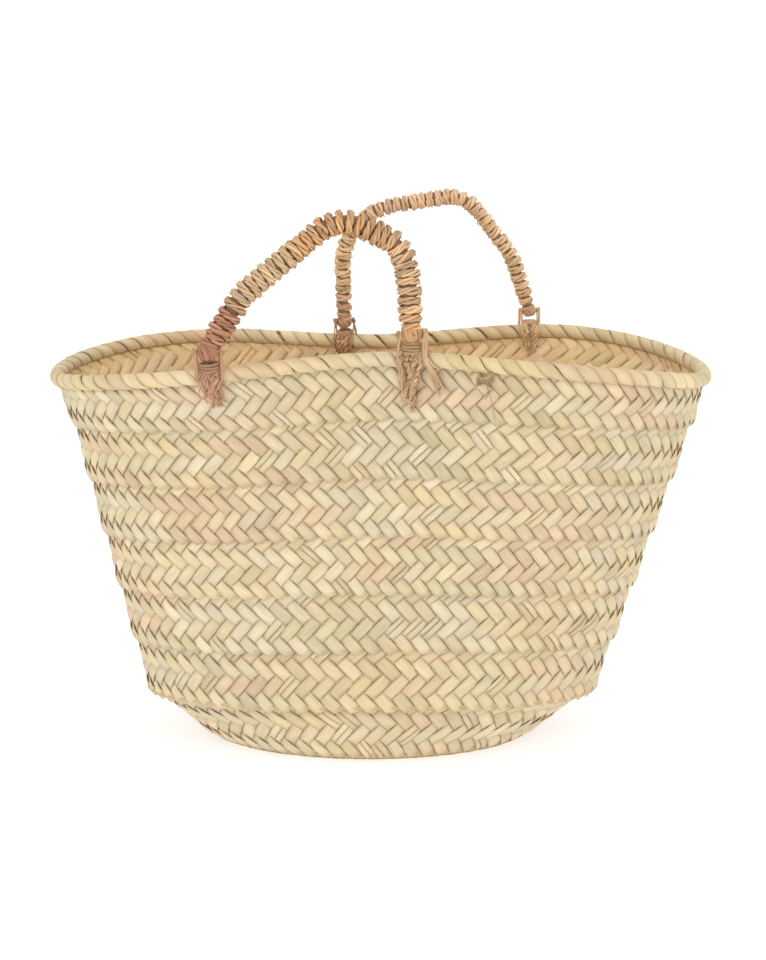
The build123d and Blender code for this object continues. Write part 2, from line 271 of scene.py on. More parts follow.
class Strips:
    """Collects closed strips and tubes, with their colours and coordinates, into one mesh."""

    def __init__(self):
        self.points, self.faces, self.tones, self.coordinates, self.edges = [], [], [], [], []
        self.count = 0

    def add(self, points, tone, coordinates, own=None):
        """One grid of rows by columns, with its last column joined to the first.

        own runs from -1 to 1 across a flat strip, so that its edges can be drawn darker, as painted shade
        where strips meet.
        """
        rows, columns = points.shape[:2]
        index = self.count + np.arange(rows * columns).reshape(rows, columns)
        index = np.concatenate([index, index[:, :1]], axis=1)
        quads = np.stack([index[:-1, :-1], index[:-1, 1:], index[1:, 1:], index[1:, :-1]], axis=-1)
        self.faces.append(quads.reshape(-1, 4))
        self.points.append(points.reshape(-1, 3))
        self.tones.append(np.broadcast_to(tone, points.shape).reshape(-1, 3))
        self.coordinates.append(coordinates.reshape(-1, 3))
        self.edges.append(np.zeros(rows * columns) if own is None else own.ravel())
        self.count += rows * columns

    def flat_strip(self, points, normals, thickness, tone, own, across, lengthwise, number):
        """A thin closed strip about a grid of points, its section going right round."""
        def both(over, under):
            return np.concatenate([over, under[:, ::-1]], axis=1)

        lift = normals * thickness / 2
        ring = both(points + lift, points - lift)
        rows, columns = ring.shape[:2]
        number = np.full((rows, columns), float(number))
        coordinates = np.stack([both(across, across), both(lengthwise, lengthwise), number], axis=-1)
        self.add(ring, both(tone, tone * INSIDE), coordinates, both(own, own))
        for start, turned in ((self.count - rows * columns, True), (self.count - columns, False)):
            cap = [[start + i, start + i + 1, start + columns - 2 - i, start + columns - 1 - i]
                   for i in range(columns // 2 - 1)]
            self.faces.append(np.array([c[::-1] for c in cap] if turned else cap))

    def tube(self, path, radius, tone, number, sides=6, axes=None, shade=None):
        """A round strand along a path, closing to a point at both ends."""
        count = len(path)
        tangent = unit(np.gradient(path, axis=0))
        if axes is None:
            side = unit(np.cross(tangent, SKEW))
            axes = side, np.cross(tangent, side)
        radius = np.broadcast_to(radius, (count,)).copy()
        tip = np.minimum(np.arange(count), np.arange(count)[::-1]) / 3
        radius *= np.sqrt(np.clip(tip, 0.0, 1)) * 0.98 + 0.02
        angle = np.linspace(0, 2 * math.pi, sides, endpoint=False)
        ring = circling(angle[None], axes[0][:, None], axes[1][:, None])
        points = path[:, None] + ring * radius[:, None, None]
        coordinates = np.stack([
            np.broadcast_to(angle * 1.2, (count, sides)),
            np.broadcast_to(distance_along(path)[:, None] * 1000, (count, sides)),
            np.full((count, sides), float(number)),
        ], axis=-1)
        tone = np.broadcast_to(tone, (count, 3))[:, None] * np.ones((1, sides, 1))
        # shade(angle) darkens the colour round the section, as painted shade on the strand's hidden side.
        if shade is not None:
            tone = tone * shade(angle)[None, :, None]
        self.add(points, tone, coordinates)

    def build(self, name, material, body, slot, *replaced):
        """Makes the mesh, on its body and in place of the CAD nodes that it shows."""
        faces = np.concatenate(self.faces)
        mesh = bpy.data.meshes.new(name)
        mesh.from_pydata(np.concatenate(self.points).tolist(), [], faces.tolist())
        tone = mesh.attributes.new("tone", "FLOAT_COLOR", "POINT")
        colours = np.concatenate([np.concatenate(self.tones), np.ones((self.count, 1))], axis=1)
        tone.data.foreach_set("color", colours.ravel())
        strip = mesh.attributes.new("strip", "FLOAT_VECTOR", "POINT")
        strip.data.foreach_set("vector", np.concatenate(self.coordinates).ravel())
        edge = mesh.attributes.new("edge", "FLOAT", "POINT")
        edge.data.foreach_set("value", np.concatenate(self.edges))
        mesh.shade_smooth()
        mesh.materials.append(material)
        obj = bpy.data.objects.new(name, mesh)
        bpy.context.scene.collection.objects.link(obj)
        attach(obj, body)
        if replaced:
            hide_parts(*replaced)


# ------------------------ the twill plait
PITCH = 0.0127  # distance between neighbouring strips, along the plait
ROW = 0.0131  # height of one row of floats
SLOPE = PITCH / ROW  # run of a strip for each unit it climbs
STRIP_COVER = 0.985  # share of its lane that a strip fills
STRIP_THICKNESS = 0.0005
LIFT = 0.00062  # how far a float stands off the middle of the plait
CROWN = 0.00045  # extra at the middle of a float
DIVE = 0.20  # half the length of a strip's dive, in lanes
TUCK = 0.13  # how far under the crossing strip the dive is already done
SPLIT_SHARE = 0.09  # strips that are two narrow leaves side by side
SCALLOP = 0.0036  # depth of the saw-teeth along a plait's lower edge
PRESS = 0.0005  # a plait's lower edge is drawn in by its stitches this far
SWELL = 0.0003  # and the plait inside it swells out just under the stitches
SWAY, HEAVE = 0.0011, 0.0007  # how far the strips stray along the plait and up it
FLAT_EDGE = 0.0016  # width of the band along a cut edge where the floats flatten
ACROSS, LENGTHWISE = 620, 1000  # scale of the ribs' coordinates


def over(phase):
    """+1 where a strip is on top (phase 0 to 2 of 4), -1 where it is below."""
    phase = np.mod(phase + 1.0, 4.0) - 1.0
    inside = np.minimum(phase, 2.0 - phase) - TUCK
    ease = np.clip((inside + DIVE) / (2 * DIVE), 0, 1)
    return 2 * ease * ease * (3 - 2 * ease) - 1


def drift(count, length, seed):
    """Smooth closed random curve about 0, for colours that change slowly along a course."""
    local = np.random.default_rng(seed)
    t = np.arange(count) / count
    total = np.zeros(count)
    waves = max(2, int(count / length))
    for n in range(1, waves + 1):
        total += local.normal() * np.sin(2 * np.pi * (n * t + local.random()))
    return total / math.sqrt(waves / 2)


def strip_colours(count, seed):
    """Colours of neighbouring strips: runs of cream, green, tan and grey leaf."""
    local = np.random.default_rng(seed)
    patches = [(11, 0.7, 1.4), (8, 0.4, 1.6), (9, 0.6, 1.1), (7, 0.6, 1.0)]  # length, threshold, strength
    weights = np.stack([
        np.full(count, 1.3),
        *(np.clip(drift(count, size, seed + n) - least, 0, None) * strength
          for n, (size, least, strength) in enumerate(patches, 1)),
        local.random(count) ** 3 * 1.5,
    ], axis=1)
    weights /= weights.sum(axis=1, keepdims=True)
    colours = weights @ np.stack([CREAM, GREEN, TAN, GREY, GOLD, PALE])
    return colours * (1 + 0.05 * local.normal(size=(count, 1)))


def weave(place, length, heights, seed, scallop=0.0):
    """All the strips of one plait.

    place(x, rise, out) gives points in space from the distance along the plait, the height on
    it and the distance off its middle; heights(x) gives the plait's lowest and highest line.
    A strip is followed in lanes of the strips it crosses: it is over two and under two.
    """
    local = np.random.default_rng(seed)
    strips = Strips()
    count = 4 * round(length / PITCH / 4)
    pitch = length / count
    top = float(np.max(heights(np.linspace(0, length, 200))[1]))
    levels = 2 * top * SLOPE / pitch + 2
    dives = np.arange(-3, levels + 2, 4.0)
    low, high = TUCK - DIVE, TUCK + DIVE
    eased = np.array([low, TUCK - 0.09, TUCK, TUCK + 0.09, high])
    cycle = np.concatenate([eased, [1.0], 2 - eased[::-1], [3.0]])
    sway, heave = (
        [(n, size * local.normal() / math.sqrt(n), local.random() * 2 * math.pi) for n in orders]
        for size, orders in ((SWAY, (2, 3, 5, 9, 17, 31)), (HEAVE, (2, 5, 11, 23)))
    )

    def waves(x, terms):
        return sum(size * np.sin(2 * math.pi * n * x / length + shift) for n, size, shift in terms)

    for rising in (True, False):
        colours = strip_colours(count, seed * 10 + (5 if rising else 0))
        sign = 1.0 if rising else -1.0
        steps = np.concatenate([d - 0.5 + (2 if rising else 0) + cycle for d in dives - (4 if rising else 0)])
        for number in range(count):
            pieces = [(-0.5, 0.5)]
            if local.random() < SPLIT_SHARE:
                cut = local.uniform(-0.14, 0.14)
                pieces = [(-0.5, cut - 0.02), (cut + 0.02, 0.5)]
            shift = local.normal() * 0.02
            cover = STRIP_COVER * (1 - 0.05 * local.random())
            raised = local.normal() * 0.00006
            curl = local.normal() * 0.00010
            for left, right in pieces:
                own = np.linspace(-1, 1, 4 if len(pieces) == 1 else 3)
                w = (left + (own + 1) / 2 * (right - left)) * cover + shift
                level, w = np.meshgrid(steps, w, indexing="ij")
                own = np.broadcast_to(own, w.shape)
                rise = (level - sign * w + 0.5) * pitch / (2 * SLOPE)
                x = (number + w) * pitch + sign * (rise * SLOPE - 0.25 * pitch)
                floor, ceiling = heights(x)
                # The lower edge is saw-toothed: the end of every falling strip is cut across.
                floor = floor + scallop * (0.9 if rising else ((own + 1) / 2) ** 1.4)
                held = np.clip(rise, floor, ceiling)
                x = (number + w) * pitch + sign * (held * SLOPE - 0.25 * pitch)
                keep = (rise > floor - 0.4 * ROW).any(axis=1) & (rise < ceiling + 0.3 * ROW).any(axis=1)
                if keep.sum() < 2:
                    continue
                x, held, w, level, own, floor = (v[keep] for v in (x, held, w, level, own, floor))
                side = over(level + 0.5 - (2 if rising else 0))
                edge = np.clip((held - floor + 0.0002) / FLAT_EDGE, 0, 1)
                edge = edge if rising else 0.35 + 0.65 * edge
                crown = 1 - own ** 2
                out = side * (LIFT + CROWN * crown + raised) * edge + curl * own
                along_x = x + waves(x, sway)
                high_line = held + waves(x, heave) * np.clip(held / 0.006, 0, 1)
                points = place(along_x, high_line, out)
                normals = unit(place(along_x, high_line, out + 0.001) - points)
                # Painted shade: a strip is darker where it dives under the strip it crosses.
                dark = 1 - 0.14 * (1 - np.abs(side))
                colour = colours[number] * dark[..., None] * (1 + 0.04 * local.normal() * (len(pieces) - 1))
                run = held * math.hypot(1, SLOPE)
                strips.flat_strip(
                    points, normals, STRIP_THICKNESS, colour, own,
                    w * pitch * ACROSS, run * LENGTHWISE,
                    number * 7.3 + seed * 31 + (0 if rising else 1000),
                )
    return strips


# ------------------------ wall courses
PRESS_REACH = 0.007  # how far up from its lower edge a course is drawn in
SWELL_DROP, SWELL_REACH = 0.0025, 0.0040  # middle of the swelling below the lap, and its width


def course_edges(k, turn):
    """Middle of the upper and of the lower edge of course k, as in the CAD."""
    if k == 1:
        upper = offset_point(0, turn, 0, -ROPE_RADIUS - FIT_GAP)
    elif k == FOLD_SEAM + 1:
        upper = offset_point(FOLD_SEAM, turn, -SHINGLE - FOLD_TUCK, FOLD_OVERLAP)
    else:
        upper = offset_point(k - 1, turn, -SHINGLE, OVERLAP)
    return upper, offset_point(k, turn, SHINGLE, -OVERLAP)


def ring_place(upper, lower, tangent, lapped=False):
    """The maps that lay a plait on the closed band between two curves sampled at TURNS."""
    distance = distance_along((upper + lower) / 2)
    length = distance[-1]
    height = np.linalg.norm(upper - lower, axis=1)
    up = (upper - lower) / height[:, None]
    normal = unit(np.cross(tangent, up))

    def read(field, x):
        x = np.mod(x, length)
        return np.interp(x, distance, field) if field.ndim == 1 else sample(x, distance, field)

    def place(x, rise, out):
        if lapped:
            drawn_in = np.clip(1 - rise / PRESS_REACH, 0, 1) ** 2 * PRESS
            below_lap = read(height, x) - rise - 2 * OVERLAP - SWELL_DROP
            out = out - drawn_in + SWELL * np.exp(-(below_lap / SWELL_REACH) ** 2)
        return read(lower, x) + read(up, x) * rise[..., None] + read(normal, x) * out[..., None]

    def heights(x):
        return np.zeros_like(x), read(height, x)

    return place, length, heights


for k in range(1, COURSES + 1):
    upper, lower = course_edges(k, TURNS)
    place, length, heights = ring_place(upper, lower, seam_frame(k, TURNS)[0], lapped=True)
    course = weave(place, length, heights, seed=k, scallop=SCALLOP)
    course.build(f"plaited_course_{k}", leaf, "basket", "palm_plait", f"wall_course_{k}")


# ------------------------ base
def flat_curve(half_length, half_depth, z):
    """Level ellipse about the middle of the base."""
    angle = np.radians(TURNS)
    x = half_length * np.cos(angle) + BASE_MIDDLE
    return np.stack([x, half_depth * np.sin(angle), np.full_like(x, z)], axis=-1)


def stadium_curve(half_length, half_depth, z):
    """Level outline with straight sides and round ends."""
    angle = np.radians(TURNS)
    straight = half_length - half_depth
    c, s = np.cos(angle), np.sin(angle)
    reach = half_length * 1.25
    x = np.clip(reach * c, -straight, straight)
    side = np.abs(reach * c) <= straight
    rest = np.clip((np.abs(reach * c) - straight) / (reach - straight), 0, 1)
    x = np.where(side, x, np.sign(c) * (straight + half_depth * np.sin(rest * np.pi / 2)))
    y = np.sign(s) * np.where(side, half_depth, half_depth * np.cos(rest * np.pi / 2))
    return np.stack([x + BASE_MIDDLE, y, np.full_like(x, z)], axis=-1)


def base_outline(inset):
    """Half length and half depth of the base coil, drawn in from its outer edge."""
    return BASE_HALF_LENGTH - BASE_INSET[0] - inset, BASE_HALF_DEPTH - BASE_INSET[1] - inset


middle_z = BASE_THICKNESS / 2
coil_1_outer = base_outline(BASE_BAND + JOINT_GAP)
heart = (coil_1_outer[0] - BASE_BAND, coil_1_outer[1] - BASE_BAND)
rings = [
    ("base_coil_2", flat_curve(*base_outline(0), middle_z), flat_curve(*base_outline(BASE_BAND), middle_z)),
    ("base_coil_1", flat_curve(*coil_1_outer, middle_z),
     stadium_curve(heart[0] + JOINT_GAP, heart[1] + JOINT_GAP, middle_z)),
]
for number, (node, outer, inner) in enumerate(rings):
    tangent = unit(np.roll(outer[:-1], -1, axis=0) - np.roll(outer[:-1], 1, axis=0))
    tangent = np.concatenate([tangent, tangent[:1]])
    place, length, heights = ring_place(inner, outer, tangent)
    coil = weave(place, length, heights, seed=11 + number)
    coil.build(f"plaited_{node}", leaf, "basket", "palm_plait", node)


def heart_place(x, rise, out):
    """A straight plait along the middle of the base."""
    return np.stack([x - heart[0] + BASE_MIDDLE, rise - heart[1], middle_z - out], axis=-1)


def heart_heights(x):
    """The heart's two sides, which meet at its round ends."""
    beyond = np.clip(np.abs(x - heart[0]) - (heart[0] - heart[1]), 0, heart[1])
    half = np.sqrt(np.maximum(heart[1] ** 2 - beyond ** 2, 1e-8))
    half = np.where(np.abs(x - heart[0]) > heart[0], 0.0002, half)
    return heart[1] - half, heart[1] + half


weave(heart_place, 2 * heart[0], heart_heights, seed=15).build(
    "plaited_base_heart", leaf, "basket", "palm_plait", "base_heart"
)

thread = thread_material("sewing_thread", srgb(214, 188, 138))
for name, node in nodes.items():
    if name.startswith(("seam_cord", "base_seam")) or name == "rim_rope":
        node.data.materials.clear()
        node.data.materials.append(thread)


# ------------------------ rim binding
RIM_STRIPS = 92  # flat strips wound round the rim, side by side
RIM_SLANT = 0.0265  # how far a strip runs along the rim in one turn round it
RIM_ARC = (math.radians(248), math.radians(-50))  # from the wall's inner face over to its outer
RIM_SKIRT = 0.0008  # the strips' ends run this far down the wall
RIM_STRIP_THICKNESS = 0.0006
RIM_STRIP_HALF_MM = 6.5  # half a strip's width, for its ribs
RIM_TINT = np.array([1.03, 1.0, 0.93])

rim_points = seam_point(0, TURNS)
_, rim_normal, rim_up = seam_frame(0, TURNS)
rim_distance = distance_along(rim_points)
rim_length = rim_distance[-1]


def wind_rim():
    """Flat strips wound round the rim; their ends make a row of teeth on the wall."""
    strips = Strips()
    pitch = rim_length / RIM_STRIPS
    colours = strip_colours(RIM_STRIPS, 71) * RIM_TINT
    section = np.linspace(*RIM_ARC, 17)
    arc = (RIM_ARC[0] - section) * RIM_RADIUS
    steps = np.concatenate([arc, arc[-1] + RIM_SKIRT * np.array([0.3, 0.6, 0.85, 1.0])])
    for number in range(RIM_STRIPS):
        shift, wobble = 0.03 * rng.normal(), 0.05 * rng.normal()
        own, lift = np.linspace(-1, 1, 4), 0.0001 * rng.normal()
        run, own = np.meshgrid(steps, own, indexing="ij")
        skirt = np.clip((run - arc[-1]) / RIM_SKIRT, 0, 1)
        w = own * 0.49 * (1 - 0.25 * skirt) + shift + 0.12 * skirt
        run = run - RIM_SKIRT * 0.75 * np.clip(skirt - 0.2, 0, 1) * (1 - own) / 2
        turn = run / (2 * math.pi * RIM_RADIUS)
        distance = np.mod((number + w + wobble * np.sin(turn * 5)) * pitch + turn * RIM_SLANT, rim_length)
        angle = np.maximum(RIM_ARC[0] - run / RIM_RADIUS, RIM_ARC[1])
        crown = 1 - own ** 2
        # Each strip laps over the one before it.
        radius = RIM_RADIUS - 0.0004 + 0.0003 * (own + 1) / 2 + 0.0001 * crown + lift
        below = np.maximum(run - arc[-1], 0)
        out = np.cos(angle) * radius - 0.12 * below
        rise = np.sin(angle) * radius - below
        middle, outward, upward = (
            sample(distance, rim_distance, field) for field in (rim_points, rim_normal, rim_up)
        )
        points = middle + outward * out[..., None] + upward * rise[..., None]
        normals = unit(circling(angle, outward, upward))
        # Painted shade: the strips' ends are darker where they run down the wall under the rim.
        colour = colours[number] * (1 - 0.10 * skirt)[..., None]
        strips.flat_strip(points, normals, RIM_STRIP_THICKNESS, colour, own,
                          own * RIM_STRIP_HALF_MM, run * LENGTHWISE, number * 7.7 + 3000)
    return strips


wind_rim().build("wound_rim", rim_leaf, "basket", "rim_palm", "rim_binding")


# ------------------------ twines in the joints
# One runs inside each lap of the wall, one round the edge of the base and one round its heart.
LAP_TWINE, FOLD_TWINE, HEART_TWINE = 0.0016, 0.0024, 0.0014  # radii
EDGE_TWINE = BASE_HALF_LENGTH - 0.0028, BASE_HALF_DEPTH - 0.0011, 0.0037  # half sizes and height

twines = [
    (f"lap_twine_{k}", offset_point(k, TURNS, 0.0, LAP_TWINE / 2), LAP_TWINE)
    for k in range(1, FOLD_SEAM)
] + [
    (f"lap_twine_{FOLD_SEAM}", offset_point(FOLD_SEAM, TURNS, -FOLD_TUCK / 2, FOLD_OVERLAP), FOLD_TWINE),
    ("base_edge_twine", flat_curve(*EDGE_TWINE), LAP_TWINE),
    ("base_heart_twine",
     stadium_curve(heart[0] + JOINT_GAP / 2, heart[1] + JOINT_GAP / 2, middle_z), HEART_TWINE),
]
for number, (name, path, radius) in enumerate(twines):
    twine = Strips()
    twine.tube(np.concatenate([path, path[1:8]]), radius, np.ones(3), number)  # its ends overlap
    twine.build(name, thread, "basket", "sewing_cord")


# ------------------------ handles
REST_LEAN = math.radians(8.0)
PATH_STEP = 0.0006  # between the points of a handle's route
HAIR = 0.00022  # radius of a loose fibre


def foot_frame(x, front):
    """Rim point, tangent, outward normal and upward direction at a handle foot."""
    turn = np.array(turn_at(x, front))
    rim = seam_point(0, turn)
    tangent = seam_frame(0, turn)[0]
    up = rim - offset_point(1, turn, SHINGLE, 0)
    up = unit(up - tangent * along(up, tangent))
    return rim, tangent, np.cross(tangent, up), up


class Handle:
    """A handle at rest: its sizes and the plane it stands in, with its origin at the left pivot.

    pivot is the height of the hinge above the rim, rope and core are the radii of the winding
    and of the rope inside it, and eye is the radius of the ball at each foot.
    """

    def __init__(self, name, feet, pivot, rope, core, eye, size, fibre):
        self.name, self.front, self.feet = name, name == "front", feet
        self.pivot, self.rope, self.core, self.eye = pivot, rope, core, eye
        self.size, self.fibre = size, fibre
        pivots = []
        for x in feet:
            rim, _, _, up = foot_frame(x, self.front)
            pivots.append(rim + up * pivot)
        self.origin = pivots[0]
        self.span = float(np.linalg.norm(pivots[1] - pivots[0]))
        self.axis = unit(pivots[1] - pivots[0])
        upright = unit(np.array([0, 0, 1.0]) - self.axis * self.axis[2])
        inward = np.cross(upright, self.axis) * (1 if self.front else -1)
        self.rise = upright * math.cos(REST_LEAN) + inward * math.sin(REST_LEAN)
        self.normal = np.cross(self.axis, self.rise)

    def place(self, x, y):
        """Points of the plane, x along the hinge axis and y up the handle."""
        return self.origin + self.axis * x[..., None] + self.rise * y[..., None]

    def build(self, strips, what, node):
        strips.build(f"{self.name}_handle_{what}", self.fibre, f"{self.name}_handle",
                     f"{self.name}_rope", f"{self.name}_handle_{node}")


def filleted(corners, bends, step):
    """Points of a polyline whose inner corners are rounded, one every step."""
    corners = [np.array(c) for c in corners]
    points = [corners[0]]
    for before, corner, after, bend in zip(corners, corners[1:], corners[2:], bends):
        a, b = unit(before - corner), unit(after - corner)
        half = math.acos(float(np.clip(a @ b, -1, 1))) / 2
        middle = corner + unit(a + b) * bend / math.sin(half)
        start, end = corner + a * bend / math.tan(half), corner + b * bend / math.tan(half)
        first, last = (math.atan2(*(p - middle)[::-1]) for p in (start, end))
        sweep = (last - first + math.pi) % (2 * math.pi) - math.pi
        angles = first + sweep * np.linspace(0, 1, 24)
        points += list(middle + bend * np.stack([np.cos(angles), np.sin(angles)], axis=1))
    points = np.array(points + [corners[-1]])
    distance = distance_along(points)
    even = np.arange(0, distance[-1], step)
    return sample(even, distance, points), even


front = Handle("front", (-0.1230, 0.0225), pivot=0.019, rope=0.0088, core=0.0052, eye=0.0080, size=1.0,
               fibre=front_fibre)
back = Handle("back", (-0.0280, 0.1175), pivot=0.016, rope=0.0063, core=0.0034, eye=0.0059, size=0.78,
              fibre=back_fibre)
front_slant, back_slant = math.radians(36.6), math.radians(18)
front.corners = [
    (0, 0), (0.048 * math.sin(front_slant), 0.048 * math.cos(front_slant)),
    (0.68 * front.span, 0.0896), (front.span, 0.064), (front.span, 0),
]
back.corners = [
    (0, 0), (-0.003, 0.088), (0.635 * back.span, 0.099),
    (back.span - 0.049 * math.sin(back_slant), 0.049 * math.cos(back_slant)), (back.span, 0),
]
front.bends, back.bends = (0.040, 0.030, 0.032), (0.045, 0.030, 0.050)


def smooth_noise(count, knots, size):
    """Random curve through a few knots."""
    values = rng.normal(size=max(int(knots), 2) + 1) * size
    return np.interp(np.linspace(0, len(values) - 1, count), np.arange(len(values)), values)


PLIES = 4  # loose strands in the cord wound round a handle
PLY_RADIUS = 0.00135
PLY_TALL, PLY_WIDE = 0.00105, 0.27  # how far they lie apart: off the handle, and in turns along it
PLY_LAY = 0.026  # they go once round each other in this length
TURN_LEAN = 0.0013  # a turn is further along the handle on one side than on the other
CORD_STEP = 0.0011  # between the points of the cord
SLIM_FOOT, SLIM_FADE = 0.006, 0.010  # near a foot the turns are drawn in, then they grow again


def wound_cord(handle, pitch, centre_radius, colour_at, scale=1.0):
    """The cord wound round a handle: loose strands side by side, twisting slowly."""
    flat, distance = filleted(handle.corners, handle.bends, PATH_STEP)
    total = distance[-1]
    flat = np.concatenate([flat, [flat[-1] + unit(flat[-1] - flat[-2]) * PATH_STEP]])
    distance = np.append(distance, total + PATH_STEP)

    turns = distance[-1] / pitch
    rate = 1 + smooth_noise(len(distance), turns, 0.10)
    angle = 2 * math.pi * np.concatenate([[0], np.cumsum(np.diff(distance) * rate[1:])]) / pitch
    swell = smooth_noise(len(distance), turns * 1.3, 0.00035 * scale)

    # Even steps along the cord itself, not along the handle.
    fine = np.linspace(0, angle[-1], int(angle[-1] * centre_radius / CORD_STEP))
    s = np.interp(fine, angle, distance)
    swell = np.interp(s, distance, swell)
    middle = handle.place(*sample(s, distance, flat).T)
    forward = unit(np.gradient(middle, s + np.arange(len(s)) * 1e-12, axis=0))
    forward = unit(forward - handle.normal * along(forward, handle.normal))
    sideways = np.cross(handle.normal, forward)
    # The drawn-in turns swing clear of the lashing.
    slim = handle.eye - PLY_RADIUS - PLY_TALL * scale
    grown = np.clip((np.minimum(s, total - s) - SLIM_FOOT) / SLIM_FADE, 0, 1)
    radius = slim + (centre_radius - slim + swell) * grown
    out = circling(fine, sideways, -handle.normal)
    lean = -TURN_LEAN * np.cos(fine + 0.4)
    cord = middle + out * radius[:, None] + forward * lean[:, None]
    length = distance_along(cord)

    strips = Strips()
    for ply in range(PLIES):
        spin = 2 * math.pi * (ply / PLIES + length / PLY_LAY) + smooth_noise(len(s), turns, 0.35)
        wide = PLY_WIDE * pitch * (1 + smooth_noise(len(s), turns * 2, 0.15))
        tall = PLY_TALL * scale * (1 + smooth_noise(len(s), turns * 2, 0.2))
        path = cord + forward * (wide * np.cos(spin))[:, None] + out * (tall * np.sin(spin))[:, None]
        thick = PLY_RADIUS * (1 + smooth_noise(len(s), turns * 1.5, 0.16))
        tone = colour_at(s / total) * (1 + smooth_noise(len(s), turns * 1.5, 0.15))[:, None]
        # Painted shade: each ply is darker on its side towards the handle, so the gaps between turns look
        # shaded.
        strips.tube(path, thick, tone, ply * 17.3 + scale, axes=(forward, out),
                    shade=lambda a: 0.55 + 0.45 * np.clip(np.sin(a) + 0.4, 0, 1))
    # Fibres that have worked loose from the winding.
    for number in range(int(turns * 1.2)):
        first = int(rng.uniform(0.12, 0.86) * len(s))
        run = np.arange(first, first + rng.integers(8, 20))
        off = np.linspace(0, 1, len(run)) ** 2 * rng.uniform(0.0004, 0.0030)
        astray = rng.normal() * 0.002 * np.linspace(0, 1, len(run))
        hair = cord[run] + out[run] * (0.0019 * scale + off)[:, None] + forward[run] * astray[:, None]
        strips.tube(hair, HAIR, colour_at(s[run] / total) * 0.9, 700 + number, sides=4)
    handle.build(strips, "cord", "wrap")


def gradient_of(*stops):
    """Colour along a handle, from (share of its length, colour) pairs."""
    places, colours = (np.array(column) for column in zip(*stops))
    return lambda share: sample(share, places, colours)


RED_BROWN = srgb(208, 152, 118)
OLIVE_TAN = srgb(230, 200, 156)
WARM_TAN = srgb(242, 190, 138)
PALE_TAN = srgb(246, 206, 162)
STRAW = srgb(244, 206, 162)
DARK_BROWN = srgb(214, 172, 132)

wound_cord(front, 0.0064, 0.0071, gradient_of(
    (0, RED_BROWN), (0.14, RED_BROWN * 0.95), (0.18, OLIVE_TAN), (0.27, PALE_TAN), (0.34, OLIVE_TAN),
    (0.42, WARM_TAN), (0.66, WARM_TAN * 0.92), (0.8, PALE_TAN * 0.93), (1, WARM_TAN * 0.92),
))
wound_cord(back, 0.0068, 0.0046, gradient_of(
    (0, DARK_BROWN), (0.12, STRAW * 1.06), (0.5, srgb(250, 208, 168)),
    (0.72, srgb(255, 218, 172)), (0.92, srgb(252, 214, 168)), (1, DARK_BROWN),
), scale=0.7)

FOOT_STRANDS = 26
FOOT_STRAND_RADIUS = 0.00105


def core_strands(handle, tone, foot_tones):
    """The rope inside the winding, and the ball of strands at each foot."""
    strips = Strips()
    flat, _ = filleted(handle.corners, handle.bends, 0.002)
    # The rope inside the winding is darkened as painted shade, showing dark in the gaps between the turns.
    strips.tube(handle.place(flat[:, 0], flat[:, 1]), handle.core, tone * 0.55, 1, sides=12)
    toward = unit(flat[-2] - flat[-1])     # both balls stand the way the right leg does
    pole = handle.axis * toward[0] + handle.rise * toward[1]
    side = unit(np.cross(pole, handle.normal))
    for foot, shade in zip((flat[0], flat[-1]), foot_tones):
        centre = handle.place(foot[0], foot[1])
        for i in range(FOOT_STRANDS):
            around = 2 * math.pi * (i + 0.3 * rng.random()) / FOOT_STRANDS
            latitude = np.linspace(-1.5, 1.25, 15)
            azimuth = around + latitude * 0.25 + smooth_noise(15, 4, 0.05)
            outward = circling(latitude, circling(azimuth, side, handle.normal), pole)
            thick = FOOT_STRAND_RADIUS * (1 + 0.2 * rng.normal())
            strips.tube(centre + (handle.eye - 0.0011) * outward, thick,
                        shade * (0.85 + 0.2 * rng.random()), i + 40, sides=5)
        # A filling darkened as painted shade, so that no light comes through between the strands.
        ball = (handle.eye - 0.0016) * np.sqrt(1 - np.linspace(-0.97, 0.97, 9) ** 2)
        line = np.linspace(-handle.eye + 0.0012, handle.eye - 0.0012, 9)
        strips.tube(centre + pole * line[:, None], ball, shade * 0.4, 2, sides=12)
    handle.build(strips, "strands", "core")


core_strands(front, WARM_TAN * 0.85, (RED_BROWN * 0.9, WARM_TAN * 0.85))
core_strands(back, STRAW * 0.8, (DARK_BROWN, STRAW * 0.9))


# ------------------------ lashings
def curve_through(controls, count):
    """Smooth curve through control points (Catmull-Rom)."""
    controls = np.array(controls, float)
    before, after = 2 * controls[0] - controls[1], 2 * controls[-1] - controls[-2]
    padded = np.concatenate([[before], controls, [after]])
    u = np.linspace(0, len(controls) - 1 - 1e-9, count)
    i = u.astype(int)
    t = (u - i)[:, None]
    a, b, c, d = (padded[i + n] for n in range(4))
    bend, twist = 2 * a - 5 * b + 4 * c - d, 3 * b - a - 3 * c + d
    return 0.5 * (2 * b + (c - a) * t + bend * t ** 2 + twist * t ** 3)


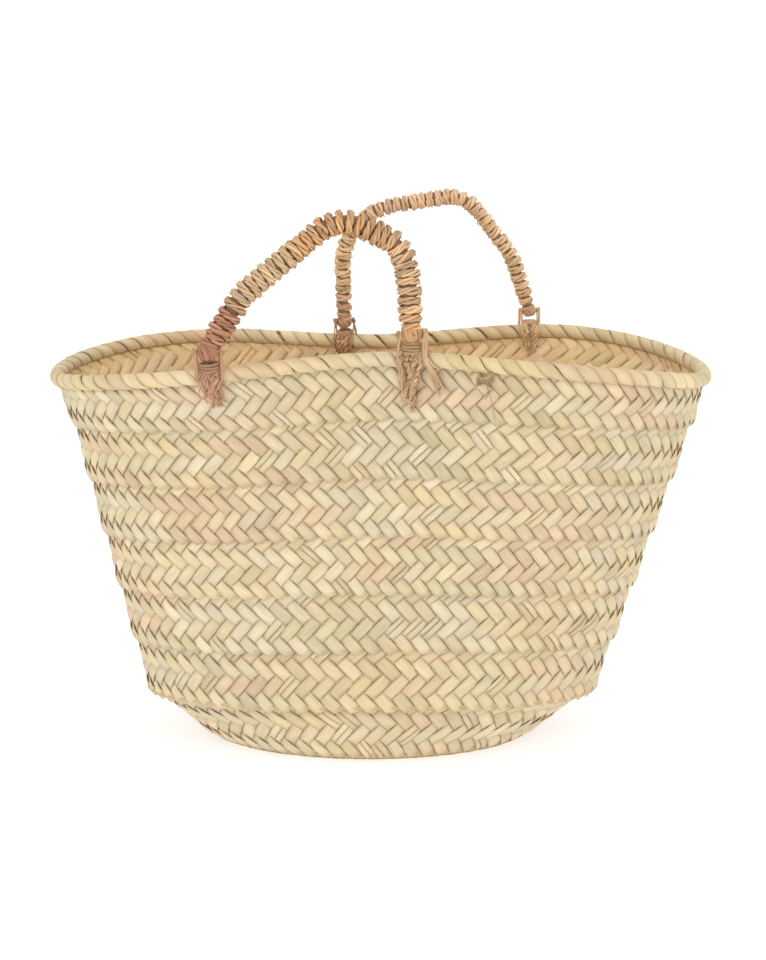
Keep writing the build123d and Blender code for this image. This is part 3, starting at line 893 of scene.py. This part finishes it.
def lash(handle, foot, out_leg, in_leg, tip_shift, splay, spread_side, tone):
    """Strands that tie a handle foot over the rim, and the cross cord it turns on.

    out_leg and in_leg are how far they reach down each face of the wall, tip_shift and splay
    move and spread their ends, and spread_side has ears that hang loose.
    """
    rim, tangent, normal, up = foot_frame(handle.feet[foot == "right"], handle.front)
    eye, pivot, size, axis = handle.eye, handle.pivot, handle.size, handle.axis
    strips = Strips()

    def at(t, n, u):
        return rim + tangent * t + normal * n + up * u

    def strand(controls, thick, shade):
        path = curve_through([at(*c) for c in controls], 8 * len(controls))
        path = path + normal * smooth_noise(len(path), len(controls) * 1.5, 0.0002)[:, None]
        path = path + tangent * smooth_noise(len(path), len(controls) * 1.5, 0.0003)[:, None]
        strips.tube(path, thick * size, tone * shade, rng.random() * 500, sides=5)

    def cord(controls, thick, shade):
        """Two plies twisted together, with ends that thin out."""
        path = curve_through([at(*c) for c in controls], 90)
        path = path + tangent * smooth_noise(90, 9, 0.0005)[:, None]
        forward = unit(np.gradient(path, axis=0))
        across = unit(np.cross(forward, normal * 0.3 + up * 0.2 + tangent))
        other = np.cross(forward, across)
        length = distance_along(path)
        taper = np.clip(np.minimum(length, length[-1] - length) / 0.007, 0.35, 1)
        for ply in (0, math.pi):
            spin = ply + length * 2 * math.pi / 0.010 + rng.random()
            twist = circling(spin, across, other)
            own = shade * (1 + 0.12 * rng.normal())
            strips.tube(path + twist * (thick * size * 0.85 * taper)[:, None],
                        thick * size * taper, tone * own, rng.random() * 500)

    # The saddle: twisted cords down the inside, over the rim under the foot, and down the outside,
    # where they cross and draw together.
    half = handle.rope * 0.95
    cords = 7
    order = rng.permutation(cords)
    for i in range(cords):
        share = (i + 0.5) / cords * 2 - 1
        lower = (order[i] + 0.5) / cords * 2 - 1
        layer = 0.0007 * (i % 3) * size
        top = pivot - eye - 0.0037 * size + layer - 0.0012
        reach = 0.5 + 0.4 * rng.random() if i % 3 else 1.0
        outside, inside = out_leg * reach, in_leg * (0.6 + 0.4 * rng.random())
        cord([
            (lower * half * 0.5, -0.0036 - layer, -inside),
            (share * half * 0.8, -0.0042 - layer, -inside * 0.5),
            (share * half, -0.0076 - layer, -0.001),
            (share * half, -0.0050, top - 0.0022),
            (share * half * 0.85, 0.0, top),
            (share * half, 0.0050, top - 0.0022),
            (share * half * 1.05, 0.0076 + layer, -0.001),
            ((0.5 * share + 0.3 * lower) * half + tip_shift * 0.3, 0.0050 + layer, -outside * 0.42),
            (lower * half * 0.30 + tip_shift * 0.7, 0.0044 + layer, -outside * 0.75),
            ((lower * 0.45 - share * 0.2) * half * (1 + splay) + tip_shift, 0.0034 + layer, -outside),
        ], 0.00115, 0.75 + 0.40 * rng.random())
    # Loose fibres that stand away from the cords.
    for i in range(10):
        share, drop = rng.uniform(-1, 1), out_leg * rng.uniform(0.2, 0.9)
        strand([
            (share * half * 0.8, 0.0078, -drop * 0.2), (share * half * 1.15, 0.0072, -drop * 0.6),
            (share * half * rng.uniform(0.5, 1.3), 0.0052, -drop),
        ], 0.00035, 0.85 + 0.3 * rng.random())
    # Three turns of cord round the strands, between the foot and the rim.
    for lift, ring in ((0.0, 0.0058), (-0.0017, 0.0066), (-0.0034, 0.0072)):
        path = [at(ring * size * 1.15 * math.cos(v), ring * size * 0.95 * math.sin(v),
                   pivot - eye - 0.0018 + (lift + 0.0005 * math.sin(v + lift * 900)) * size)
                for v in np.linspace(0, 2 * math.pi, 26)]
        strips.tube(np.array(path), 0.0011 * size, tone * 0.85, 9.1 + lift * 1000)
    # The ears: thin loops that hang over the cross cord on both sides of the foot.
    centre = rim + up * pivot
    hinge_up = unit(up - axis * (up @ axis))
    hinge_out = np.cross(axis, hinge_up)
    if hinge_out @ normal < 0:
        hinge_out = -hinge_out
    way = 1.0 if tangent @ axis > 0 else -1.0
    for side in (-1, 1):
        for i in range(3 if side == spread_side else 2):
            t = side * (eye + 0.0008 + 0.0011 * i)
            loop = centre + axis * t * way
            bow = loop + 0.0024 * circling(np.radians([-20, 30, 90, 150, 200]), hinge_out, hinge_up)
            loose = rng.random()
            if side == spread_side:
                # These hang loose and curl away from the foot.
                tail = [at(t * 2.2 + side * 0.003 * loose, 0.0036, -out_leg * (0.45 + 0.25 * loose)),
                        at(t * 1.65, 0.0066, -out_leg * 0.20), at(t * 1.15, 0.0086, 0.002)]
            else:
                tail = [at(t * (0.30 + 0.3 * loose), 0.0074, -out_leg * (0.35 + 0.3 * loose)),
                        at(t * 0.75, 0.0092, -out_leg * 0.10), at(t * 0.98, 0.0088, 0.002)]
            inside = [at(t * 0.9, -0.0080, 0.001), at(t * 0.6, -0.0056, -in_leg * 0.35),
                      at(t * 0.3, -0.0040, -in_leg * (0.5 + 0.3 * loose))]
            path = curve_through([*tail, *bow, *inside], 70) + axis * smooth_noise(70, 12, 0.0003)[:, None]
            thick = (0.00095 if side == spread_side else 0.00060) * (1 + 0.2 * rng.normal())
            strips.tube(path, thick * size, tone * (0.85 + 0.3 * rng.random()), rng.random() * 500)
        # Cross cord, from the ear up to the foot: two plies twisted together.
        reach = np.linspace(eye - 0.0010, eye + 0.0024, 16) * side
        for ply in (0, math.pi):
            spin = ply + reach * 2 * math.pi / 0.008
            path = centre + axis * reach[:, None] + 0.0009 * size * circling(spin, hinge_out, hinge_up)
            strips.tube(path, 0.00105 * size, tone * 0.85, 5.0 + ply, sides=7)
    strips.build(f"{handle.name}_{foot}_tie", handle.fibre, "basket", f"{handle.name}_rope",
                 f"{handle.name}_handle_lashing_{foot}")


lash(front, "left", 0.024, 0.020, 0.001, 1.2, 0, srgb(214, 166, 132))
lash(front, "right", 0.039, 0.022, 0.0, -0.4, 1, srgb(222, 184, 142))
lash(back, "left", 0.018, 0.021, 0.0, 0.6, 0, srgb(216, 174, 132))
lash(back, "right", 0.018, 0.021, 0.0, 0.4, 0, srgb(240, 204, 158))


# ------------------------ knot and stray fibres
KNOT_X, KNOT_OUT, KNOT_DOWN = 0.077, 0.0052, 0.0105  # along the mouth, off the wall, under the rim
KNOT_SCALE = 1.15


def knot():
    """The end of the binding, folded over under the rim, with two loose hairs."""
    strips = Strips()
    turn = np.array(turn_at(KNOT_X, True))
    tangent, normal, up = seam_frame(0, turn)
    centre = offset_point(0, turn, KNOT_OUT, -KNOT_DOWN)

    def at(t, n, u):
        return centre + (tangent * t + up * u) * KNOT_SCALE + normal * n

    brown = srgb(178, 148, 114)
    for i in range(4):
        shift = (i - 1.5) * 0.0017
        path = curve_through([
            at(-0.0062, -0.0010, -0.0014 + shift), at(-0.0022, 0.0016 + 0.0004 * i, 0.0002 + shift * 0.8),
            at(0.0016, 0.0016, 0.0012 + shift * 0.6), at(0.0056, -0.0012, 0.0034 + shift),
        ], 30)
        strips.tube(path, 0.0008, brown * (0.80 + 0.12 * i), 600 + i * 9)
    for i in range(2):
        path = curve_through([
            at(-0.0040, -0.0008, 0.0040 - 0.002 * i), at(-0.0012, 0.0028, 0.0012 - 0.001 * i),
            at(0.0014, 0.0026, -0.0014), at(0.0036, -0.0006, -0.0046 + 0.001 * i),
        ], 30)
        strips.tube(path, 0.00075, brown * (0.9 - 0.12 * i), 650 + i * 9)
    for lean, length in ((0.22, 0.025), (-0.12, 0.011)):
        path = curve_through([
            at(0.0015, 0.0020, -0.002), at(0.003 + lean * length * 0.4, 0.0012, -0.002 - length * 0.5),
            at(0.0015 + lean * length, 0.0002, -0.002 - length),
        ], 24)
        strips.tube(path, 0.00026, brown * 0.8, 680, sides=5)
    strips.build("rim_knot", rim_leaf, "basket", "sewing_cord", "tie_off_knot")


knot()


# ------------------------ studio
FLOOR_HALF = 30  # it reaches the horizon
FLOOR_DROP = 0.0006
floor_corners = [(x * FLOOR_HALF, y * FLOOR_HALF, 0) for x, y in ((-1, -1), (1, -1), (1, 1), (-1, 1))]
floor_mesh = bpy.data.meshes.new("studio_floor")
floor_mesh.from_pydata(floor_corners, [], [(0, 1, 2, 3)])
floor = bpy.data.objects.new("studio_floor", floor_mesh)
floor.location.z = -FLOOR_DROP
bpy.context.scene.collection.objects.link(floor)
floor_material = bpy.data.materials.new("studio_floor")
floor_material.use_nodes = True
floor_surface = floor_material.node_tree.nodes["Principled BSDF"].inputs
floor_surface["Base Color"].default_value = (0.5, 0.5, 0.5, 1)
floor_surface["Roughness"].default_value = 0.9
floor_surface["Specular IOR Level"].default_value = 0.0
floor_surface["Emission Color"].default_value = (1, 1, 1, 1)
floor_surface["Emission Strength"].default_value = 0.62
floor_mesh.materials.append(floor_material)

world = bpy.data.worlds.new("studio")
bpy.context.scene.world = world
world.use_nodes = True
sky = world.node_tree.nodes["Background"].inputs
sky["Color"].default_value = (1.0, 0.998, 0.992, 1)
sky["Strength"].default_value = 1.0


def area_light(name, place, target, size, power):
    """Round soft light that shines at target."""
    light = bpy.data.lights.new(name, "AREA")
    light.shape = "DISK"
    light.size = size
    light.energy = power
    lamp = bpy.data.objects.new(name, light)
    lamp.location = place
    lamp.rotation_euler = (Vector(target) - Vector(place)).to_track_quat("-Z", "Y").to_euler()
    bpy.context.scene.collection.objects.link(lamp)


middle = (0.0, 0.0, 0.2)
area_light("key", (-1.0, -2.5, 1.2), middle, 1.8, 11)
area_light("fill", (1.9, -1.7, 1.0), middle, 1.6, 4)

CAMERA_DISTANCE = 2.44
CAMERA_RISE = math.radians(13.75)
camera_data = bpy.data.cameras.new("camera")
camera_data.lens = 119.8
camera = bpy.data.objects.new("camera", camera_data)
aim = Vector((0.0016, 0.0, 0.197))
camera.location = aim + CAMERA_DISTANCE * Vector((0, -math.cos(CAMERA_RISE), math.sin(CAMERA_RISE)))
camera.rotation_euler = (aim - camera.location).to_track_quat("-Z", "Y").to_euler()
bpy.context.scene.collection.objects.link(camera)
bpy.context.scene.camera = camera
bpy.context.scene.view_settings.view_transform = "Standard"
